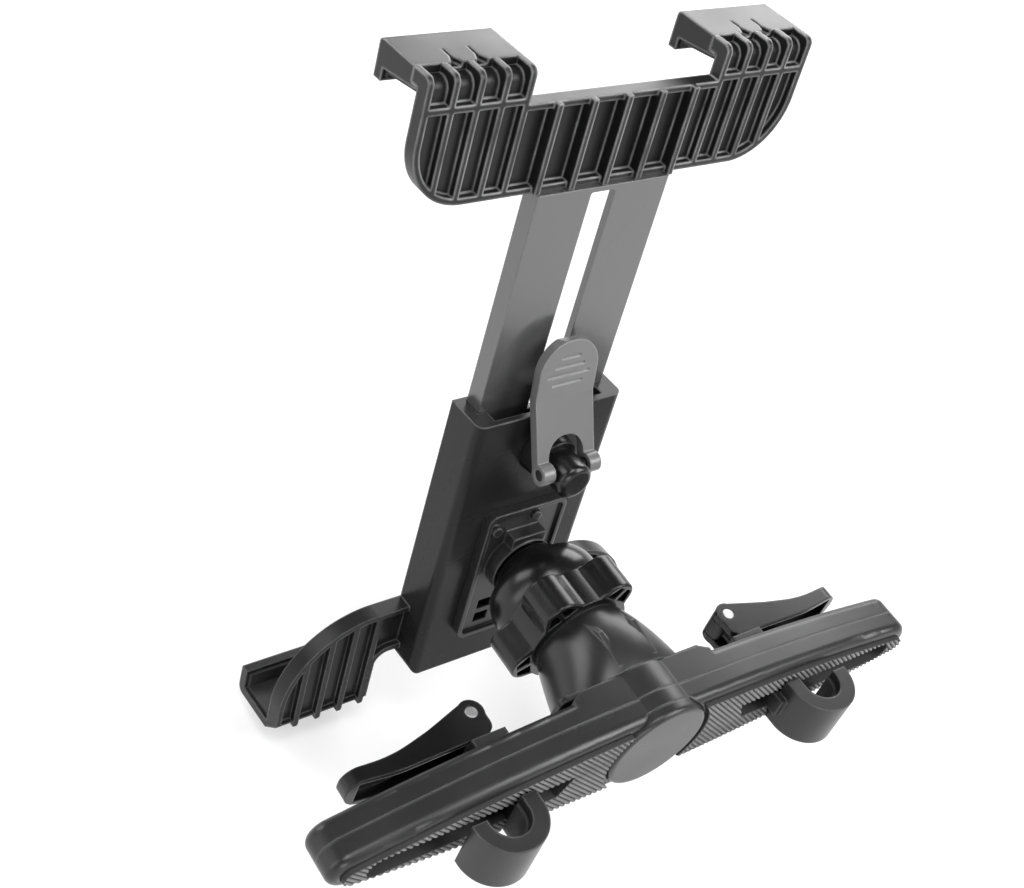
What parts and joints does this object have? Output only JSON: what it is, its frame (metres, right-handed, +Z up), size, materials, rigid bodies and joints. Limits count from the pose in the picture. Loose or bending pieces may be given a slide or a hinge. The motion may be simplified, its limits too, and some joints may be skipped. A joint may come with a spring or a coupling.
{
  "type": "car headrest tablet holder",
  "caption": "Tablet holder for a car headrest: a hooked crossbar, an arm with a ball joint and a sliding clamp that grips a tablet by its edges.",
  "frame": {"origin": "midway between the two headrest posts, on the plane of the pads that rest against them", "axes": "+X along the crossbar, +Y forward from the posts towards the tablet, +Z up"},
  "size_m": [0.192, 0.126, 0.2029],
  "materials": {
    "shell_plastic": "satin",
    "housing_plastic": "satin",
    "gloss_black": "semi-gloss",
    "slide_plastic": "satin",
    "lever_plastic": "satin",
    "pad_rubber": "finely ribbed",
    "liner_rubber": "matt",
    "steel": "bright"
  },
  "bodies": {
    "crossbar": {"crossbar_rear_shell": "shell_plastic", "crossbar_front_shell": "shell_plastic", "pad_left": "pad_rubber", "pad_right": "pad_rubber", "arm_cap": "shell_plastic", "arm": "shell_plastic"},
    "nut": {"clamp_nut": "gloss_black"},
    "ball": {"ball": "gloss_black"},
    "neck": {"ball_neck": "gloss_black"},
    "holder": {"adapter_plate": "shell_plastic", "clamp_housing": "housing_plastic", "claw_liner_left": "liner_rubber", "claw_liner_right": "liner_rubber", "lock_stud": "gloss_black", "lock_collar": "gloss_black", "lock_pin": "gloss_black"},
    "head": {"slide_plate": "slide_plastic", "ribbed_head": "housing_plastic", "upper_hook_left": "housing_plastic", "upper_hook_right": "housing_plastic", "hook_liner_left": "liner_rubber", "hook_liner_right": "liner_rubber"},
    "lock_lever": {"lock_lever": "lever_plastic"},
    "block_left": {"slide_block_left": "shell_plastic"},
    "stud_left": {"hook_stud_left": "steel", "cam_pin_left": "steel"},
    "hook_left": {"post_hook_left": "shell_plastic"},
    "lever_left": {"cam_lever_left": "gloss_black"},
    "block_right": {"slide_block_right": "shell_plastic"},
    "stud_right": {"hook_stud_right": "steel", "cam_pin_right": "steel"},
    "hook_right": {"post_hook_right": "shell_plastic"},
    "lever_right": {"cam_lever_right": "gloss_black"}
  },
  "joints": [
    {"name": "nut_turn", "type": "hinge", "parent": "crossbar", "child": "nut", "pos_m": [0, 0.054, 0], "axis": [0, 1, 0], "continuous": true},
    {"name": "ball_pitch", "type": "hinge", "parent": "crossbar", "child": "ball", "pos_m": [0, 0.054, 0], "axis": [1, 0, 0], "range_deg": [-11, 24]},
    {"name": "ball_yaw", "type": "hinge", "parent": "ball", "child": "neck", "pos_m": [0, 0.054, 0], "axis": [0, 0.1167, 0.9932], "range_deg": [-18, 18]},
    {"name": "holder_spin", "type": "hinge", "parent": "neck", "child": "holder", "pos_m": [0, 0.054, 0], "axis": [0, 0.9932, -0.1167], "continuous": true},
    {"name": "head_slide", "type": "slide", "parent": "holder", "child": "head", "axis": [0, 0.1167, 0.9932], "range_m": [-0.058, 0.0065]},
    {"name": "lock_lever_turn", "type": "hinge", "parent": "holder", "child": "lock_lever", "pos_m": [0, 0.06371, 0.03813], "axis": [1, 0, 0], "range_deg": [0, 95]},
    {"name": "hook_slide_left", "type": "slide", "parent": "crossbar", "child": "block_left", "axis": [-1, 0, 0], "range_m": [-0.0083, 0.036]},
    {"name": "cam_pull_left", "type": "slide", "parent": "block_left", "child": "stud_left", "axis": [0, -1, 0], "range_m": [0, 0.00184]},
    {"name": "hook_reach_left", "type": "slide", "parent": "stud_left", "child": "hook_left", "axis": [0, -1, 0], "range_m": [0, 0.009]},
    {"name": "cam_lever_turn_left", "type": "hinge", "parent": "stud_left", "child": "lever_left", "pos_m": [-0.0435, 0.0255, -0.0005], "axis": [0, 0, -1], "range_deg": [0, 100]},
    {"name": "hook_slide_right", "type": "slide", "parent": "crossbar", "child": "block_right", "axis": [1, 0, 0], "range_m": [-0.0083, 0.036]},
    {"name": "cam_pull_right", "type": "slide", "parent": "block_right", "child": "stud_right", "axis": [0, -1, 0], "range_m": [0, 0.00184]},
    {"name": "hook_reach_right", "type": "slide", "parent": "stud_right", "child": "hook_right", "axis": [0, -1, 0], "range_m": [0, 0.009]},
    {"name": "cam_lever_turn_right", "type": "hinge", "parent": "stud_right", "child": "lever_right", "pos_m": [0.0435, 0.0255, -0.0005], "axis": [0, 0, 1], "range_deg": [0, 100]}
  ],
  "couplings": [
    {"joint": "cam_lever_turn_left", "follows": "cam_pull_left", "rad_per_m": 950},
    {"joint": "cam_lever_turn_right", "follows": "cam_pull_right", "rad_per_m": 950}
  ]
}
